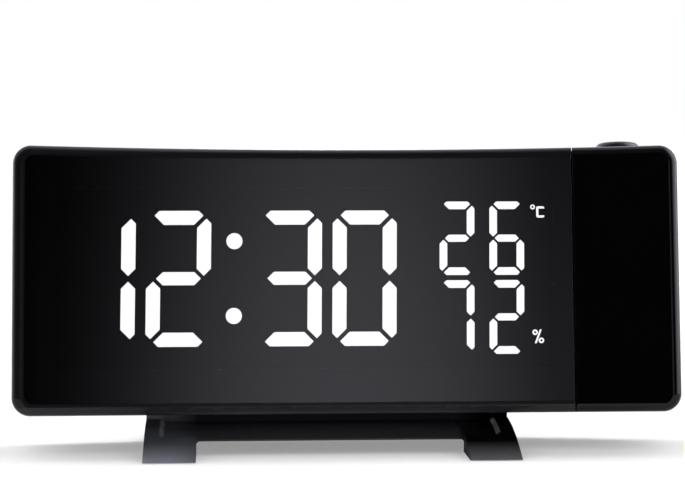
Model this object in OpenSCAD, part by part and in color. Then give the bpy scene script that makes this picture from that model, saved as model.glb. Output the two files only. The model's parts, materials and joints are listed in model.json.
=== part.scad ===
// Projection alarm clock: a hollow-fronted display body, a turning projector head and a low stand.
// Millimetres. The origin lies on the table under the middle of the clock, +Z is up and the
// display faces -Y. Body-local coordinates are u (width), w (depth back from the ends' front
// line) and v (height along the leaning body).

/* [Body] */
// Overall width across both ends
body_w = 200; // [196:1:230]
// Height of the body along its own lean
body_h = 80.6; // [78:0.2:95]
// Thickness from front to back
body_t = 28; // [27:0.5:34]
// Radius of the hollow front
front_r = 406; // [360:2:600]
// Backward lean in degrees
lean = 7.5; // [5:0.5:9]
// Height of the front bottom edge over the table
floor_gap = 12.4; // [11.6:0.2:16]
// Wall thickness of the shells
wall = 2; // [1.6:0.1:2.4]
// Corner radius seen from the front
corner_r = 5.6; // [5.5:0.1:7]
// Rounding of the front edges, all round
front_fillet = 2.7; // [1:0.1:2.7]
// Rounding of the back edges
back_fillet = 4; // [3:0.5:4.5]

/* [Display] */
// Frame above the window
bezel_top = 2.9; // [2.4:0.1:5]
// Frame below the window
bezel_bottom = 3.4; // [2.4:0.1:5]
// Frame left of the window
bezel_side = 3.8; // [2.4:0.1:6]
// Corner radius of the window
window_r = 3; // [2:0.5:4]
// Depth of the window's face behind the frame
window_recess = 0.4; // [0.3:0.1:1.4]
// Thickness of the window
window_t = 2; // [1.5:0.1:2.5]
// Height of the middle of the digits over the body's bottom, where the body is 80.6 high
display_v = 41.3; // [38:0.1:46]
// Height of the time digits, where the body is 80.6 high
time_digit_h = 41.4; // [36:0.2:44]
// Distance from one time digit to the next, where the window is 164.6 wide as are those below
time_pitch = 22.9; // [22:0.1:23.4]
// Extra distance across the colon
colon_space = 10.9; // [9:0.1:11.4]
// Radius of a colon dot
colon_dot_r = 2.45; // [1.8:0.05:3]
// Distance from each colon dot to the digits' middle line
colon_rise = 11.4; // [8:0.2:14]
// First time digit's distance from the window's left edge
time_left = 12.4; // [10:0.2:13.6]
// Height of the temperature and humidity digits, where the body is 80.6 high
climate_digit_h = 22.6; // [20:0.2:24]
// Distance from one climate digit to the next
climate_pitch = 15.35; // [14:0.05:16]
// Gap between the temperature row and the humidity row
climate_row_gap = 1.6; // [1:0.1:4]
// Gap from the last time digit to the first climate digit
climate_space = 13.2; // [11:0.2:14]
// Gap from the last climate digit to the unit signs
unit_space = 2.5; // [1.5:0.1:3]
// Slant of the digits in degrees
digit_slant = 0.65; // [0:0.05:6]

/* [Projector head] */
// Width of the projector head at the front
head_w = 31.6; // [30:0.1:34]
// Gap between the body and the projector head
seam_gap = 0.3; // [0.25:0.05:0.6]
// Turn of the seam off the radius in degrees, so that no light shows through the gap
seam_skew = 1.2; // [0.8:0.1:1.6]
// Outer diameter of the pivot hub
hub_d = 12; // [10:0.5:13]
// Bore of the pivot hub for the lead
hub_bore = 8; // [6:0.5:9]
// Distance of the projector's optical axis from the seam
lens_x = 14.2; // [13.4:0.2:17]
// Outer diameter of the focus ring
focus_ring_d = 13.3; // [13:0.1:15]
// Height of the focus ring above the head
focus_ring_h = 2.4; // [1.8:0.1:3.4]
// Travel of the lens cell each way
focus_travel = 0.75; // [0.4:0.05:0.9]

/* [Stand] */
// Distance between the outer sides of the two feet
stand_w = 110.6; // [100:0.2:130]
// Middle of the stand, measured from the middle of the body
stand_u = -5.7; // [-10:0.1:0]
// Width of one foot
foot_w = 15.4; // [13:0.2:20]
// Reach of the toes in front of the body's front edge
toe_reach = 12.7; // [8:0.1:20]
// Depth of a foot on the table
foot_depth = 15.2; // [14:0.2:18]
// Height of the arch between the feet
arch_h = 4.2; // [3:0.1:4.4]
// Radius of the humped top of the feet
ramp_r = 100; // [90:5:200]
// Distance from the body's front edge back to the end of the ramp
ramp_back = 21; // [18:0.5:24]
// Height of the ramp's end over the table
ramp_h = 8.4; // [7.6:0.1:8.8]
// Width of the raised strip outside the sunken middle
strip_w = 4.6; // [3:0.1:8]
// Depth of the sunken middle of the stand
sink = 0.9; // [0.5:0.1:1.2]

/* [Controls] */
// Diameter of a rear button
button_d = 7.4; // [6:0.2:9]
// Distance between the rear buttons
button_pitch = 14; // [12:0.5:16]
// Height of the row of buttons over the body's bottom
button_v = 59; // [54:0.5:60]
// How far a button stands out
button_proud = 0.9; // [0.5:0.1:1.5]
// Travel of a button
button_travel = 0.8; // [0.4:0.1:1]
// Length of the snooze bar
snooze_l = 60; // [40:1:80]
// Width of the snooze bar
snooze_w = 8; // [6:0.5:8.5]
// Travel of the snooze bar
snooze_travel = 0.8; // [0.4:0.1:1]
// Diameter of the battery cap
cap_d = 25; // [24.4:0.2:27]

/* [Electronics] */
// Depth of the reflector block
reflector_t = 6; // [5:0.5:6.5]
// Thickness of the circuit boards
board_t = 1.6; // [1:0.2:1.8]
// Space between the display board and the main board
board_gap = 4.8; // [4.4:0.2:5.2]
// Diameter of the alarm speaker
speaker_d = 20; // [16:0.5:22]
// Thickness of the alarm speaker
speaker_t = 4.5; // [3:0.1:5]
// Diameter of the backup cell
cell_d = 20; // [16:0.5:20]
// Thickness of the backup cell
cell_t = 3.2; // [2:0.1:3.2]

/* [Hidden] */

$fn = 48;
arc_fn = 360;           // facets of a full turn at the body's great radius
over = 1;               // how far a cut runs past the surface that it opens
blend_slack = 0.01;     // keeps a rounding from only grazing the faces that it joins

// Clearances
window_play = 0.1;      // window in its seat
button_play = 0.3;      // button in its hole
running_fit = 0.06;     // radial, turning and sliding fits
touch_gap = 0.2;        // between parts that nearly touch
touching = 0.05;        // between parts that rest on each other
flange_gap = 0.15;      // button flange behind the wall

// Body frame
sag = front_r - sqrt(pow(front_r, 2) - pow(body_w / 2, 2));
back_r = front_r + body_t;
mid_r = front_r + body_t / 2;
axis_w = sag - front_r;                      // the great radius is struck from here
back_y = (sag + body_t - back_fillet) * cos(lean) + (body_h - back_fillet) * sin(lean)
    + back_fillet;
front_y = (toe_reach - back_y) / 2;
sweep_past = 20;                             // degrees, past both ends
seam_a = asin((body_w / 2 - head_w) / front_r);
skew_room = 0.5;                             // degrees swept past the seam before it is cut
seam_round = 0.35;                           // rounding of the front edges at the seam

// Window and what lies behind it
pane_front_r = front_r + window_recess;
pane_back_r = pane_front_r + window_t;
panel_t = 1.2;                               // black panel behind the window
panel_back_r = pane_back_r + panel_t;
window_left = bezel_side - body_w / 2;
u_fit = (body_w - head_w - bezel_side) / 164.6;  // width of the window against its usual one
v_fit = body_h / 80.6;                       // height of the body against its usual one
face_gap = 0.5;                              // reflector behind the window's middle
face_w = pane_back_r + axis_w + face_gap;
rear_face_w = face_w + reflector_t;          // front of the display board
main_w = rear_face_w + board_t + board_gap;  // front of the main board
main_back_w = main_w + board_t;

// Seven-segment digit proportions, all per unit of digit height
digit_aspect = 0.474 * u_fit / v_fit;
stroke_ratio = 0.104;
middle_ratio = 0.0965;
corner_ratio = 0.093;
mitre_ratio = 0.023;
tip_ratio = 0.021;
segment_t = 1;
SEGMENTS = "abcdefg";
TIME_LIT = ["bc", "abged", "abgcd", "abcdef"];
TEMPERATURE_LIT = ["abged", "acdefg"];
HUMIDITY_LIT = ["abc", "abged"];
time_h = time_digit_h * v_fit;
climate_h = climate_digit_h * v_fit;
row_gap = climate_row_gap * v_fit;
mid_v = display_v * v_fit;
time_digit_w = time_h * digit_aspect;
climate_digit_w = climate_h * digit_aspect;
time_u0 = window_left + time_left * u_fit;
function time_u(i) = time_u0 + (i * time_pitch + (i > 1 ? colon_space : 0)) * u_fit;
colon_u = (time_u(1) + time_digit_w + time_u(2)) / 2;
climate_u0 = time_u(3) + time_digit_w + climate_space * u_fit;
function climate_u(i) = climate_u0 + i * climate_pitch * u_fit;
temperature_v = mid_v + row_gap / 2;
humidity_v = mid_v - row_gap / 2 - climate_h;
unit_u = climate_u(1) + climate_digit_w + unit_space * u_fit;

// Reflector and display board
unit_w = 4;
reflector_left = time_u0 - 3;
reflector_right = unit_u + unit_w + 1.6;
reflector_half_h = max(time_h / 2, climate_h + row_gap / 2) + 4;
reflector_play = 0.4;
board_margin_v = 6.4;                        // display board above and below the reflector
board_boss_d = 5;
board_boss_v = reflector_half_h + board_margin_v / 2 + 0.4;
board_boss_u = [reflector_left + 9, reflector_right - 12];

// Screws
screw_d = 2.4;
screw_head_d = 4.6;
screw_head_h = 1.6;
screw_pilot_d = 2.2;
screw_hole_d = 2.8;
small_screw_d = 1.7;
small_head_d = 3.4;
small_head_h = 1.2;
small_pilot_d = 1.6;
small_hole_d = 2;
bit_d = 1.6;                                 // hexagon in a screw head
bit_depth = 0.8;
screw_depth = 7;

// Case screws: distance in from the end, the seam, the top and the bottom
case_boss_d = 6.4;
case_inset_u = 13;
case_inset_v = 8.2;
case_seat_r = mid_r + 4;                     // seat of the screw head
case_u = [case_inset_u - body_w / 2, body_w / 2 - head_w - case_inset_v];
case_v = [case_inset_v, body_h - case_inset_v];

// Rear buttons, in the order seen from +X to -X
button_hole_d = button_d + 2 * button_play;
button_flange_d = button_d + 2;
button_flange_t = 0.8;
button_stem_d = 3;
switch_w = 6;
switch_h = 3.2;
plunger_d = 3;
plunger_h = 0.8;
switch_top_w = main_back_w + switch_h + plunger_h;
button_u = [for (i = [-2:2]) (-16 + i * button_pitch) * u_fit];
rear_v = button_v * v_fit;

// Snooze bar
snooze_proud = 0.9;
snooze_play = 0.3;
snooze_r = mid_r + 1.3 + snooze_play + snooze_w / 2;
snooze_lip = 1;
snooze_lip_t = 0.9;
snooze_switch_v = body_h - wall - 9.6;

// Main board
main_left = -64 * u_fit;
main_right = 30 * u_fit;
main_low = 11 * v_fit;
main_high = snooze_switch_v;
main_boss_d = 5;
main_boss_inset = 4;

// Power inlet and USB outlet
inlet_u = -56 * u_fit;
inlet_v = 22 * v_fit;
inlet_d = 8;
inlet_bore = 3.6;
inlet_pin_d = 1.2;
usb_u = -38 * u_fit;
usb_v = 22 * v_fit;
usb_w = 13.2;
usb_h = 5.8;
usb_wall = 0.5;
usb_depth = 12;

// Backup cell
cap_u = -10 * u_fit;
cap_v = 29 * v_fit;
cap_t = 1.4;
cap_ring_t = 2.4;
cap_play = 0.25;
cap_lug = 1.4;
cap_lug_t = 0.7;
cap_lug_w = 4;
cap_plug_d = cell_d + 0.4;
cap_plug_r = back_r - wall - cap_ring_t - cap_lug_t - 0.3;
cell_r = cap_plug_r - touch_gap;             // outer face of the cell
holder_wall = 1.4;

// Speaker
speaker_u = 48 * u_fit;
speaker_v = 34 * v_fit;
speaker_r = back_r - wall - speaker_t - 0.3; // its flat face clears the curved wall
grille_slots = 5;
grille_slot_w = 1.4;
grille_pitch = 3;

// Climate sensor
sensor_u = -80 * u_fit;
sensor_v = 28 * v_fit;
sensor_w = 12;
sensor_h = 14;
sensor_gap = 2.4;
vent_slots = 4;

// Pivot
hub_flange_d = hub_d + 4.4;
hub_flange_t = 1.4;
washer_t = 0.6;
clip_t = 0.8;
clip_gap = 0.1;
hub_groove = 0.6;

// Projector optics, heights from the middle of the head
head_mid_v = body_h / 2;
head_part_r = back_r - 7;
top_z = body_h / 2;
ring_gap = 0.3;
neck_d = 11;
cell_tube_d = 8.4;
lens_d = 6.4;
ring_aperture_d = 5.6;
neck_low_z = top_z - wall - 2.2;
ring_clip_z = top_z - wall - 0.3 - 0.7;
barrel_d = 13;
barrel_top_z = neck_low_z - 0.4;
barrel_low_z = barrel_top_z - 13.6;
cell_tube_top_z = top_z - 0.4;
cell_tube_low_z = barrel_low_z + 3.4;
mask_t = 1.8;
lamp_tube_h = 11;
lamp_tube_w = 14;
lamp_low_z = barrel_low_z - mask_t - lamp_tube_h;
lamp_board_t = 1.2;
rib_t = 2.4;
head_screw_v = [9, 9, body_h - 9];
head_screw_x = [6.4, head_w - 8.2, head_w - 8.2];
head_boss_d = 5;
head_board_y = 6.6;
head_board_low = -25;
head_board_high = -5;
head_board_x = [10.2, head_w - 8.6];
flip_z = -14;
flip_x = 16.2;
flip_switch_y = head_board_y + board_t + 1;  // the switch under the flip button, to its top
// The top of that switch, across and out from the great axis at the seam's angle
flip_reach = [flip_x * cos(seam_skew) - flip_switch_y * sin(seam_skew),
    mid_r + flip_x * sin(seam_skew) + flip_switch_y * cos(seam_skew)];
flip_a = seam_a + atan(flip_reach[0] / flip_reach[1]);

// Leads
lead_d = 2.2;

// Stand
stand_left = stand_u - stand_w / 2;
stand_right = stand_u + stand_w / 2;
foot_us = [stand_left, stand_right - foot_w];
toe_edge = 0.5;
pad_inset = 2;
pad_depth = 0.7;
pad_proud = 0.3;
toe_y = front_y - toe_reach;
heel_y = -toe_y - 2;                         // the heels end just short of the body's back
arch_r = 1.1;
arch_rib = 1.2;                              // depth of the webs that close the arches
side_slope = 1.2;
stand_screw_u = [stand_left + 26, stand_right - 26];
stand_screw_w = sag + body_t / 2 + 4.5;
stand_boss_d = 6.4;
stand_boss_h = 8;
stand_screw_seat = 1.6;                      // plate left above a screw head

// ---------------------------------------------------------------- frames and helpers

// Depth of the cylinder of radius r at width u
function w_at(r, u) = sqrt(r * r - u * u) + axis_w;
// Angle of the point at width u on radius r
function a_at(r, u) = asin(u / r);

module leaned() {
    translate([0, front_y, floor_gap]) rotate([-lean, 0, 0]) children();
}

// Local frame on the great radius: x along the arc, y outwards to the back, z up
module on_arc(a, r, v) {
    translate([0, axis_w, 0]) rotate([0, 0, -a]) translate([0, r, v]) children();
}

// Frame on the seam's plane at height v, x along the pivot axis towards the head
module on_seam(v) {
    on_arc(seam_a, mid_r, v) rotate([0, 0, seam_skew]) children();
}

// Frame of the projector head: origin on its pivot axis at the seam
module at_seam() {
    leaned() on_seam(head_mid_v) children();
}

// All the space on one side of the seam's plane moved by x; side is -1 for the display's and 1
// for the head's
module seam_side(side, x) {
    on_seam(0) translate([side < 0 ? x - 2 * body_w : x, -body_w, -2 * over])
        cube([2 * body_w, 2 * body_w, body_h + 4 * over]);
}

// What rounds the front edge at one side of the seam, on the surface of radius r
module seam_edge(side, r) {
    on_seam(-over) translate([side < 0 ? -seam_gap : 0, r - mid_r, 0])
        linear_extrude(body_h + 2 * over) rotate(side < 0 ? 90 : 0) corner_waste(seam_round);
}

// Frame on the back surface at width u and height v
module on_back(u, v) {
    leaned() on_arc(a_at(back_r, u), back_r, v) children();
}

// Sweeps an (r, v) outline about the great axis from angle a0 to a1
module swept(a0, a1) {
    translate([0, axis_w, 0]) rotate([0, 0, 90 - a1])
        rotate_extrude(angle = a1 - a0, $fn = arc_fn) children();
}

// Extrudes a (u, v) outline along w, from w0 to w0 + t
module along_w(w0, t) {
    translate([0, w0 + t, 0]) rotate([90, 0, 0]) linear_extrude(t) children();
}

module rod_w(u, w0, v, d, h) {
    translate([u, w0, v]) rotate([-90, 0, 0]) cylinder(d = d, h = h);
}

module rod_y(d, h) {
    rotate([-90, 0, 0]) cylinder(d = d, h = h);
}

module rod_x(d, h) {
    rotate([0, 90, 0]) cylinder(d = d, h = h);
}

// What a fillet of radius f takes away at a square corner in the origin
module corner_waste(f) {
    difference() {
        translate([-over, -over]) square(f + over);
        translate([f, f]) circle(f + blend_slack, $fn = 48);
    }
}

module rounded_rect(x0, x1, y0, y1, r) {
    difference() {
        translate([x0, y0]) square([x1 - x0, y1 - y0]);
        translate([x0, y0]) corner_waste(r);
        translate([x1, y0]) mirror([1, 0]) corner_waste(r);
        translate([x0, y1]) mirror([0, 1]) corner_waste(r);
        translate([x1, y1]) mirror([1, 0]) mirror([0, 1]) corner_waste(r);
    }
}

// Cross-section of the body in (r, v), set in from its skin and cut to the radii r0 to r1
module section(inset, r0, r1) {
    front_f = max(front_fillet - inset, 0.2);
    back_f = max(back_fillet - inset, 0.2);
    intersection() {
        difference() {
            translate([front_r + inset, inset]) square([body_t - 2 * inset, body_h - 2 * inset]);
            translate([front_r + inset, inset]) corner_waste(front_f);
            translate([front_r + inset, body_h - inset]) mirror([0, 1]) corner_waste(front_f);
            translate([back_r - inset, inset]) mirror([1, 0]) corner_waste(back_f);
            translate([back_r - inset, body_h - inset]) mirror([1, 0]) mirror([0, 1])
                corner_waste(back_f);
        }
        translate([r0, -over]) square([r1 - r0, body_h + 2 * over]);
    }
}

// Plan outline of what rounds an end's edge where it meets the surface of radius r;
// side is 1 at the back of the body and -1 at the front
module end_waste(half, f, r, side) {
    cu = half - f;
    reach = r - side * f;
    cw = w_at(reach, cu);
    tu = cu * r / reach;
    tw = (cw - axis_w) * r / reach + axis_w;
    difference() {
        polygon([[cu, cw], [half + over, cw], [half + over, tw + side * over],
            [tu, tw + side * over], [tu, tw]]);
        translate([cu, cw]) circle(f + blend_slack, $fn = 48);
    }
}

module end_rounding(half, front_f, back_f, inset) {
    translate([0, 0, -over]) linear_extrude(body_h + 2 * over) {
        if (front_f > inset) end_waste(half, front_f - inset, front_r + inset, -1);
        if (back_f > inset) end_waste(half, back_f - inset, back_r - inset, 1);
    }
}

// What rounds the two corners at one end, seen from the front
module corner_rounding(half, low, high, f) {
    along_w(-over, sag + body_t + 2 * over) {
        translate([half, low]) mirror([1, 0]) corner_waste(f);
        translate([half, high]) mirror([1, 0]) mirror([0, 1]) corner_waste(f);
    }
}

// What the front fillet takes away at a corner, in the frame on the front surface at the
// corner's axis, whose y stands off w by the angle a
module corner_ring(a) {
    f = front_fillet;
    path_r = corner_r - f;
    shift = path_r / cos(a) - path_r - f * tan(a);
    far = corner_r + 2 * over;
    slope = f * sin(a) / (path_r + f * cos(a));
    intersection() {
        translate([shift, 0, 0]) rotate([-90, 0, 0]) rotate_extrude()
            translate([path_r, 0]) difference() {
                translate([0, -over]) square([f + 2 * over, f + 3 * over]);
                translate([0, f]) circle(f + 3 * blend_slack, $fn = 48);
            }
        linear_extrude(far) polygon([[shift, -2 * over], [far, -2 * over],
            [far, f + slope * (far - shift)], [shift, f]]);
    }
}

module corner_rings() {
    a = a_at(front_r, body_w / 2 - corner_r);
    on_arc(a, front_r, body_h - corner_r) corner_ring(a);
    on_arc(a, front_r, corner_r) mirror([0, 0, 1]) corner_ring(a);
}

// The body's block between two radii and two angles, set in from the skin
module block(inset, r0, r1, a0, a1) {
    half = body_w / 2 - inset;
    corner_f = max(corner_r - inset, 0.2);
    difference() {
        intersection() {
            swept(a0, a1) section(inset, r0, r1);
            translate([-half, -over, -over])
                cube([2 * half, sag + body_t + 2 * over, body_h + 2 * over]);
        }
        if (a0 < 0) mirror([1, 0, 0]) {
            corner_rounding(half, inset, body_h - inset, corner_f);
            end_rounding(half, front_fillet, back_fillet, inset);
            if (inset == 0) corner_rings();
        }
        if (a1 == sweep_past) {
            corner_rounding(half, inset, body_h - inset, corner_f);
            end_rounding(half, front_fillet, back_fillet, inset);
            if (inset == 0) corner_rings();
        }
    }
}

module display_block(inset, r0, r1) {
    intersection() {
        block(inset, r0, r1, -sweep_past, seam_a + skew_room);
        seam_side(-1, -seam_gap - (inset > 0 ? wall : 0));
    }
}

module head_block(inset, r0, r1) {
    intersection() {
        block(inset, r0, r1, seam_a - skew_room, sweep_past);
        seam_side(1, inset > 0 ? wall : 0);
    }
}

// Screw along -y with its head's top at the origin
module screw(d, head_d, head_h, length) {
    difference() {
        union() {
            rotate([90, 0, 0]) cylinder(d = head_d, h = head_h);
            rotate([90, 0, 0]) cylinder(d = d, h = head_h + length);
        }
        translate([0, over, 0]) rotate([90, 0, 0])
            cylinder(d = bit_d, h = bit_depth + over, $fn = 6);
    }
}

// ---------------------------------------------------------------- seven-segment figures

function flip_u(points, width) = [for (p = points) [width - p[0], p[1]]];
function flip_v(points, height) = [for (p = points) [p[0], height - p[1]]];

// Corner points of segment s of a digit h high
function segment_points(s, h) =
    let (
        wd = h * digit_aspect,
        t = h * stroke_ratio,
        c = h * corner_ratio,
        m = h * mitre_ratio,
        n = h * tip_ratio,
        g = h * middle_ratio / 2,
        top = [[c, h], [wd - c, h], [wd - (c + m) / 2, h - (c - m) / 2], [wd - t - m, h - t],
            [t + m, h - t], [(c + m) / 2, h - (c - m) / 2]],
        right = [[wd - t, h - t - m], [wd - (c - m) / 2, h - (c + m) / 2], [wd, h - c],
            [wd, h / 2 + n + t / 2], [wd - t / 2, h / 2 + n], [wd - t, h / 2 + n + t / 2]],
        middle = [[t / 2 + n, h / 2], [t / 2 + n + g, h / 2 + g],
            [wd - t / 2 - n - g, h / 2 + g], [wd - t / 2 - n, h / 2],
            [wd - t / 2 - n - g, h / 2 - g], [t / 2 + n + g, h / 2 - g]]
    )
    s == "a" ? top :
    s == "b" ? right :
    s == "c" ? flip_v(right, h) :
    s == "d" ? flip_v(top, h) :
    s == "e" ? flip_u(flip_v(right, h), wd) :
    s == "f" ? flip_u(right, wd) : middle;

function holds(text, s) = len(search(s, text)) > 0;
function sum(list, i = 0) = i < len(list) ? list[i] + sum(list, i + 1) : 0;
function mean(points) = [for (k = [0, 1]) sum([for (p = points) p[k]]) / len(points)];
// Leans a point of the face by the digits' slant
function slanted(p) = [p[0] + (p[1] - mid_v) * tan(digit_slant), p[1]];

// Segments of one digit at (u, v) whose lit state is wanted
function digit_shapes(u, v, h, lit, wanted) =
    [for (s = SEGMENTS) if (holds(lit, s) == wanted)
        [for (p = segment_points(s, h)) slanted([p[0] + u, p[1] + v])]];

function time_shapes(wanted) =
    [for (i = [0:3]) each digit_shapes(time_u(i), mid_v - time_h / 2, time_h,
        TIME_LIT[i], wanted)];
function climate_shapes(v, lit, wanted) =
    [for (i = [0:1]) each digit_shapes(climate_u(i), v, climate_h, lit[i], wanted)];

all_shapes = concat(time_shapes(true), time_shapes(false),
    climate_shapes(temperature_v, TEMPERATURE_LIT, true),
    climate_shapes(temperature_v, TEMPERATURE_LIT, false),
    climate_shapes(humidity_v, HUMIDITY_LIT, true),
    climate_shapes(humidity_v, HUMIDITY_LIT, false));
colon_points = [for (side = [-1, 1]) slanted([colon_u, mid_v + side * colon_rise * v_fit])];

module figures(shapes) {
    leaned() for (s = shapes) along_w(face_w, segment_t) polygon(s);
}

module colon_outline() {
    for (p = colon_points) translate(p) circle(colon_dot_r);
}

// Degree ring and C, with the C's lower left corner at the origin
module celsius_sign() {
    stroke = 0.7;
    letter_w = 2.5;
    letter_h = 3.5;
    translate([-0.7, letter_h - 0.2]) difference() {
        circle(0.75);
        circle(0.35);
    }
    difference() {
        rounded_rect(0.4, letter_w + 0.4, 0, letter_h, 0.6);
        translate([0.4 + stroke, stroke]) square([letter_w, letter_h - 2 * stroke]);
    }
}

// Two rings and a bar, with the lower left corner of the sign at the origin
module percent_sign() {
    sign_w = 3.6;
    sign_h = 4.2;
    ring_r = 0.85;
    stroke = 0.5;
    for (p = [[ring_r, sign_h - ring_r], [sign_w - ring_r, ring_r]])
        translate(p) difference() {
            circle(ring_r);
            circle(ring_r - stroke);
        }
    polygon([[0.7, 0], [1.3, 0], [sign_w - 0.7, sign_h], [sign_w - 1.3, sign_h]]);
}

celsius_at = slanted([unit_u + 0.9, temperature_v + climate_h - 5]);
percent_at = slanted([unit_u, humidity_v + 3.2]);

module unit_outlines() {
    translate(celsius_at) celsius_sign();
    translate(percent_at) percent_sign();
}

// ---------------------------------------------------------------- display body

module window_outline(play) {
    difference() {
        translate([window_left + play, bezel_bottom + play])
            square([body_w, body_h - bezel_top - bezel_bottom - 2 * play]);
        translate([window_left + play, bezel_bottom + play]) corner_waste(window_r);
        translate([window_left + play, body_h - bezel_top - play]) mirror([0, 1])
            corner_waste(window_r);
    }
}

// The window's slab, from radius r0 to r1 and up to angle a1
module window_slab(play, r0, r1, a1) {
    intersection() {
        swept(-sweep_past, a1) translate([r0, 0]) square([r1 - r0, body_h]);
        along_w(-over, sag + body_t) window_outline(play);
    }
}

module hub_bore(play) {
    on_seam(head_mid_v)
        translate([-2 * wall - seam_gap, 0, 0]) rod_x(hub_d + 2 * play, 4 * wall + seam_gap);
}

module front_frame() {
    color([0.11, 0.11, 0.12]) leaned() difference() {
        union() {
            difference() {
                display_block(0, front_r, mid_r);
                display_block(wall, panel_back_r, mid_r + over);
            }
            for (u = board_boss_u, side = [-1, 1]) {
                start = w_at(pane_back_r + panel_t / 2, u);
                rod_w(u, start, mid_v + side * board_boss_v, board_boss_d,
                    rear_face_w - start);
            }
            for (u = case_u, v = case_v)
                on_arc(a_at(mid_r, u), pane_back_r + panel_t / 2, v)
                    rod_y(case_boss_d, mid_r - pane_back_r - panel_t / 2);
        }
        window_slab(0, front_r - over, pane_back_r, seam_a + over);
        seam_edge(-1, front_r);
        along_w(-over, face_w + reflector_t)
            translate([reflector_left - reflector_play,
                mid_v - reflector_half_h - reflector_play])
            square([reflector_right - reflector_left + 2 * reflector_play,
                2 * (reflector_half_h + reflector_play)]);
        for (u = board_boss_u, side = [-1, 1])
            rod_w(u, rear_face_w - screw_depth, mid_v + side * board_boss_v,
                small_pilot_d, screw_depth + over);
        for (u = case_u, v = case_v)
            on_arc(a_at(mid_r, u), mid_r - screw_depth, v)
                rod_y(screw_pilot_d, screw_depth + over);
        hub_bore(running_fit);
    }
}

module display_window() {
    color([0.04, 0.04, 0.045]) leaned() difference() {
        intersection() {
            window_slab(window_play, pane_front_r, pane_back_r - touching, seam_a + skew_room);
            seam_side(-1, -seam_gap);
        }
        seam_edge(-1, pane_front_r);
    }
}

// Slots in the back surface, centred on (u, v)
module back_slots(u, v, count, pitch, slot_w, slot_l) {
    for (i = [0:count - 1])
        on_arc(a_at(back_r, u), back_r - wall - over, v)
            translate([(i - (count - 1) / 2) * pitch - slot_w / 2, 0, -slot_l / 2])
            cube([slot_w, wall + 2 * over, slot_l]);
}

// The battery cap's two lugs, t thick from radius r, turned from where they lock
module cap_lugs(turned, play, r, t) {
    on_arc(a_at(back_r, cap_u), r, cap_v)
        for (side = [0, 180]) rotate([0, side + turned, 0]) intersection() {
            rod_y(cap_plug_d + 2 * cap_lug + 2 * play, t);
            translate([0, -over, -cap_lug_w / 2 - play])
                cube([cap_d, t + 2 * over, cap_lug_w + 2 * play]);
        }
}

module main_bosses(d, w0, w1) {
    for (u = [main_left + main_boss_inset, main_right - main_boss_inset],
        v = [main_low + main_boss_inset, main_high - main_boss_inset])
        rod_w(u, w0, v, d, (w1 == 0 ? w_at(back_r - wall / 2, u) : w1) - w0);
}

module rear_cover() {
    color([0.12, 0.12, 0.13]) leaned() difference() {
        union() {
            difference() {
                display_block(0, mid_r, back_r);
                display_block(wall, mid_r - over, back_r - wall);
            }
            for (u = case_u, v = case_v)
                on_arc(a_at(mid_r, u), mid_r, v)
                    rod_y(case_boss_d + 1, back_r - mid_r - wall / 2);
            intersection() {
                main_bosses(main_boss_d, main_back_w, 0);
                display_block(0, mid_r, back_r - wall / 2);
            }
            on_arc(a_at(back_r, cap_u), back_r - wall - cap_ring_t, cap_v)
                rod_y(cap_d + 4, cap_ring_t + wall / 2);
            on_arc(a_at(back_r, speaker_u), speaker_r, speaker_v)
                difference() {
                    rod_y(speaker_d + 3.4, back_r - wall / 2 - speaker_r);
                    translate([0, -over, 0])
                        rod_y(speaker_d + 2 * touch_gap, speaker_t + over + touch_gap);
                }
            for (u = stand_screw_u)
                translate([u, stand_screw_w, wall / 2])
                    cylinder(d = stand_boss_d, h = stand_boss_h - wall / 2);
            on_arc(a_at(back_r, sensor_u), back_r - wall - sensor_gap, sensor_v)
                for (z = [-1, 1])
                    translate([-sensor_w / 2, 0, z * (sensor_h / 2 - 0.8) - 0.8])
                    cube([sensor_w, sensor_gap + wall / 2, 1.6]);
        }
        for (u = case_u, v = case_v) on_arc(a_at(mid_r, u), mid_r - over, v) {
            rod_y(screw_hole_d, body_t);
            translate([0, case_seat_r - mid_r + over, 0]) rod_y(screw_head_d + 1, body_t);
        }
        for (u = button_u)
            on_arc(a_at(back_r, u), back_r - wall - over, rear_v)
                rod_y(button_hole_d, wall + 2 * over);
        main_bosses(small_pilot_d, main_back_w - over, main_back_w + 3.2);
        for (u = stand_screw_u)
            translate([u, stand_screw_w, -over])
                cylinder(d = screw_pilot_d, h = stand_boss_h);
        swept(a_at(snooze_r, -snooze_l / 2 - snooze_play), a_at(snooze_r, snooze_l / 2 + snooze_play))
            translate([snooze_r - snooze_w / 2 - snooze_play, body_h - wall - over])
            square([snooze_w + 2 * snooze_play, wall + 2 * over]);
        on_arc(a_at(back_r, cap_u), back_r - cap_t - 0.1, cap_v) rod_y(cap_d + 2 * cap_play, 3);
        on_arc(a_at(back_r, cap_u), back_r - wall - cap_ring_t - over, cap_v)
            rod_y(cap_plug_d + 2 * cap_play, wall + cap_ring_t + over);
        // the lugs go in a quarter turn from where they lock
        cap_lugs(90, cap_play, back_r - wall - cap_ring_t - over,
            cap_ring_t + wall - cap_t + over);
        back_slots(speaker_u, speaker_v, grille_slots, grille_pitch, grille_slot_w,
            speaker_d * 0.7);
        back_slots(sensor_u, sensor_v, vent_slots, 2.6, 1.2, 8);
        rod_w(inlet_u, main_back_w + 1, inlet_v, inlet_d + 2 * touch_gap, body_t);
        translate([usb_u - usb_w / 2 - touch_gap, main_back_w + 1, usb_v - usb_h / 2 - touch_gap])
            cube([usb_w + 2 * touch_gap, body_t, usb_h + 2 * touch_gap]);
        hub_bore(running_fit);
    }
}

module case_screws() {
    color([0.55, 0.56, 0.58]) leaned() for (u = case_u, v = case_v)
        on_arc(a_at(mid_r, u), case_seat_r + screw_head_h, v)
            screw(screw_d - 0.3, screw_head_d, screw_head_h, case_seat_r - mid_r + 5.5);
}

// ---------------------------------------------------------------- stand

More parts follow.
